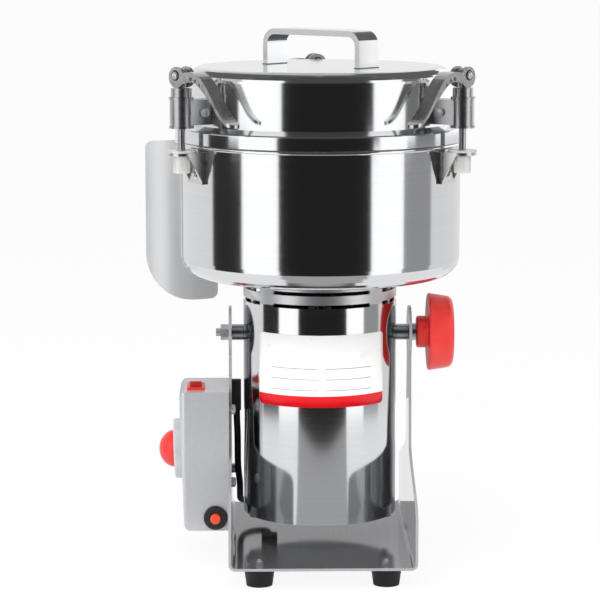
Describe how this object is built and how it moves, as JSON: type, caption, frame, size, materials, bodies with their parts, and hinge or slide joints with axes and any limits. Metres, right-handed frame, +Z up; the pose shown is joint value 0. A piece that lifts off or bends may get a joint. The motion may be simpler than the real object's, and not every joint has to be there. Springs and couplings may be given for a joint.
{
  "type": "electric spice grinder",
  "caption": "Swing-type high-speed spice grinder: polished bowl with a clamped lid on a motor that tips between the plates of a bent stand with a control box.",
  "frame": {"origin": "on the floor under the motor's axis, midway between the four feet", "axes": "+Z up along the motor's axis, +Y away from the front, +X towards the lock knob"},
  "size_m": [0.2444, 0.2349, 0.3967],
  "materials": {
    "polished_steel": "mirror-polished stainless steel",
    "sheet_steel": "bright rolled stainless sheet",
    "fastener_steel": "plated steel",
    "clamp_steel": "turned and polished stainless steel",
    "blade_steel": "ground stainless steel",
    "dark_steel": "dark laminated or cast metal",
    "copper": "bare copper and enamelled wire",
    "carbon": "pressed carbon",
    "box_grey": "silver-grey paint",
    "dial_grey": "grey moulded plastic",
    "black_plastic": "black moulded plastic",
    "black_rubber": "black moulded rubber",
    "red_plastic": "red moulded plastic",
    "orange_plastic": "orange-red moulded plastic",
    "white_nylon": "white nylon",
    "white_silicone": "white silicone",
    "label_film": "printed film, white with a red band"
  },
  "bodies": {
    "stand": {"stand_frame": "sheet_steel", "rubber_feet": "black_rubber", "foot_fasteners": "fastener_steel", "control_box": "box_grey", "box_screws": "fastener_steel", "switch_housing": "red_plastic", "timer_dial": "dial_grey", "timer_body": "black_plastic", "breaker_body": "black_plastic", "cord_gland": "black_plastic", "lead_grommet": "black_rubber", "motor_lead": "black_rubber"},
    "motor_unit": {"motor_housing": "polished_steel", "label_plate": "label_film", "motor_top_plate": "dark_steel", "motor_bottom_cover": "dark_steel", "through_bolts": "fastener_steel", "stator_core": "dark_steel", "stator_windings": "copper", "upper_bearing": "blade_steel", "lower_bearing": "blade_steel", "brush_holders": "dark_steel", "carbon_brushes": "carbon", "pivot_studs": "fastener_steel", "pivot_spacers": "dark_steel", "pivot_nut": "fastener_steel", "bowl": "polished_steel", "bowl_screws": "fastener_steel", "shaft_seal": "black_rubber", "hook_brackets": "sheet_steel", "bowl_rivets": "fastener_steel", "clamp_cups": "white_nylon", "powder_guard": "sheet_steel", "lead_boot": "black_rubber"},
    "rotor": {"motor_shaft": "blade_steel", "rotor_core": "dark_steel", "commutator": "copper", "cooling_fan": "black_plastic", "lower_blade": "blade_steel", "middle_blade": "blade_steel", "upper_blade": "blade_steel", "blade_spacers": "blade_steel", "blade_nut": "blade_steel"},
    "lid": {"lid_shell": "polished_steel", "lid_handle": "polished_steel", "lid_gasket": "white_silicone", "clamp_saddles": "clamp_steel", "saddle_screws": "fastener_steel", "clamp_barrels": "clamp_steel", "clamp_bushes": "clamp_steel"},
    "rod_left": {"clamp_rod_left": "clamp_steel"},
    "rod_right": {"clamp_rod_right": "clamp_steel"},
    "rod_back": {"clamp_rod_back": "clamp_steel"},
    "lever_left": {"clamp_lever_left": "clamp_steel"},
    "lever_right": {"clamp_lever_right": "clamp_steel"},
    "lever_back": {"clamp_lever_back": "clamp_steel"},
    "lock_knob": {"lock_knob": "red_plastic"},
    "timer_knob": {"timer_knob": "red_plastic"},
    "rocker": {"rocker": "red_plastic"},
    "reset_button": {"reset_button": "orange_plastic"}
  },
  "joints": [
    {"name": "bowl_swing", "type": "hinge", "parent": "stand", "child": "motor_unit", "pos_m": [0, 0, 0.1703], "axis": [1, 0, 0], "range_deg": [0, 90], "deforming": ["motor_lead"]},
    {"name": "blade_spin", "type": "hinge", "parent": "motor_unit", "child": "rotor", "pos_m": [0, 0, 0.215], "axis": [0, 0, 1], "continuous": true},
    {"name": "lid_lift", "type": "slide", "parent": "motor_unit", "child": "lid", "axis": [0, 0, 1], "range_m": [0, 0.16]},
    {"name": "rod_left_slide", "type": "slide", "parent": "lid", "child": "rod_left", "axis": [0, 0, 1], "range_m": [-0.002, 0]},
    {"name": "lever_left_flip", "type": "hinge", "parent": "rod_left", "child": "lever_left", "pos_m": [-0.10115, -0.0584, 0.3665], "axis": [-0.7071, -0.7071, 0], "range_deg": [0, 120]},
    {"name": "rod_right_slide", "type": "slide", "parent": "lid", "child": "rod_right", "axis": [0, 0, 1], "range_m": [-0.002, 0]},
    {"name": "lever_right_flip", "type": "hinge", "parent": "rod_right", "child": "lever_right", "pos_m": [0.10115, -0.0584, 0.3665], "axis": [-0.7071, 0.7071, 0], "range_deg": [0, 120]},
    {"name": "rod_back_slide", "type": "slide", "parent": "lid", "child": "rod_back", "axis": [0, 0, 1], "range_m": [-0.002, 0]},
    {"name": "lever_back_flip", "type": "hinge", "parent": "rod_back", "child": "lever_back", "pos_m": [0, 0.1168, 0.3665], "axis": [-0.2588, 0.9659, 0], "range_deg": [0, 120]},
    {"name": "lock_knob_turn", "type": "hinge", "parent": "motor_unit", "child": "lock_knob", "pos_m": [0.08, 0, 0.1703], "axis": [1, 0, 0], "range_deg": [0, 270]},
    {"name": "timer_turn", "type": "hinge", "parent": "stand", "child": "timer_knob", "pos_m": [-0.10385, 0, 0.0817], "axis": [0.9994, 0, 0.0342], "range_deg": [0, 300]},
    {"name": "rocker_tip", "type": "hinge", "parent": "stand", "child": "rocker", "pos_m": [-0.093, -0.01, 0.1302], "axis": [1, 0, 0], "range_deg": [0, 22]},
    {"name": "reset_push", "type": "slide", "parent": "stand", "child": "reset_button", "axis": [0, 1, 0], "range_m": [0, 0.003], "stiffness_N_per_m": 300}
  ],
  "couplings": [
    {"joint": "lever_left_flip", "follows": "rod_left_slide", "rad_per_m": -1047.2},
    {"joint": "lever_right_flip", "follows": "rod_right_slide", "rad_per_m": -1047.2},
    {"joint": "lever_back_flip", "follows": "rod_back_slide", "rad_per_m": -1047.2}
  ]
}
